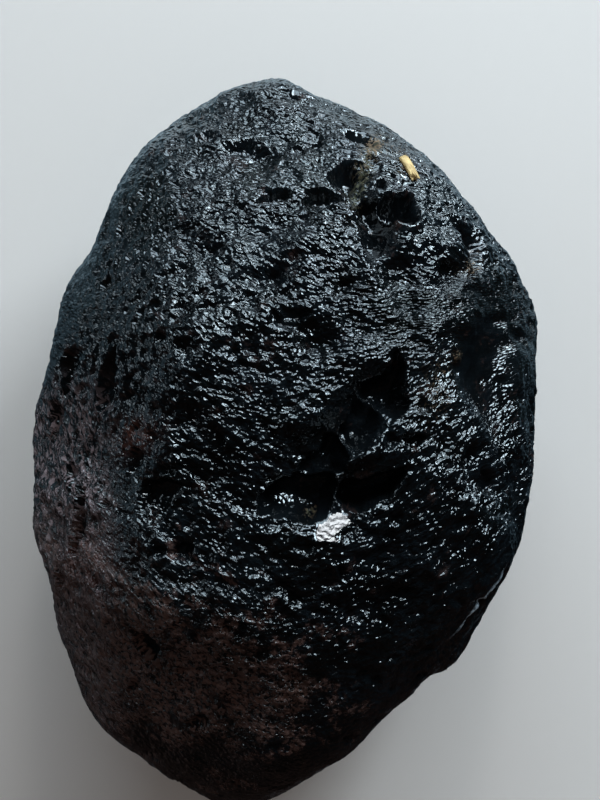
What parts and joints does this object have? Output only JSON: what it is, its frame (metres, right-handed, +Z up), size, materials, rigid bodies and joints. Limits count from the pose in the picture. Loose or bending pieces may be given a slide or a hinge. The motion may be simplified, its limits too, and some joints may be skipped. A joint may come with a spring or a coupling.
{
  "type": "saffordite nodule",
  "caption": "Palm-sized egg-shaped pebble of pitted black volcanic glass, lying on a worn flat of its back, with a dry plant splinter stuck to its shoulder",
  "frame": {"origin": "under the middle of the stone, on the surface that it rests on", "axes": "+X across the stone, +Y along it towards the narrow crown, +Z up through the pitted face"},
  "size_m": [0.0606, 0.087, 0.0458],
  "materials": {
    "stone_glass": "glossy black volcanic glass, sculpted all over with small pits and wrinkles, duller and browner at the lower left",
    "dry_straw": "matte dry plant fibre, pale straw colour"
  },
  "bodies": {
    "root": {"stone": "stone_glass", "straw_fragment": "dry_straw"}
  },
  "joints": []
}
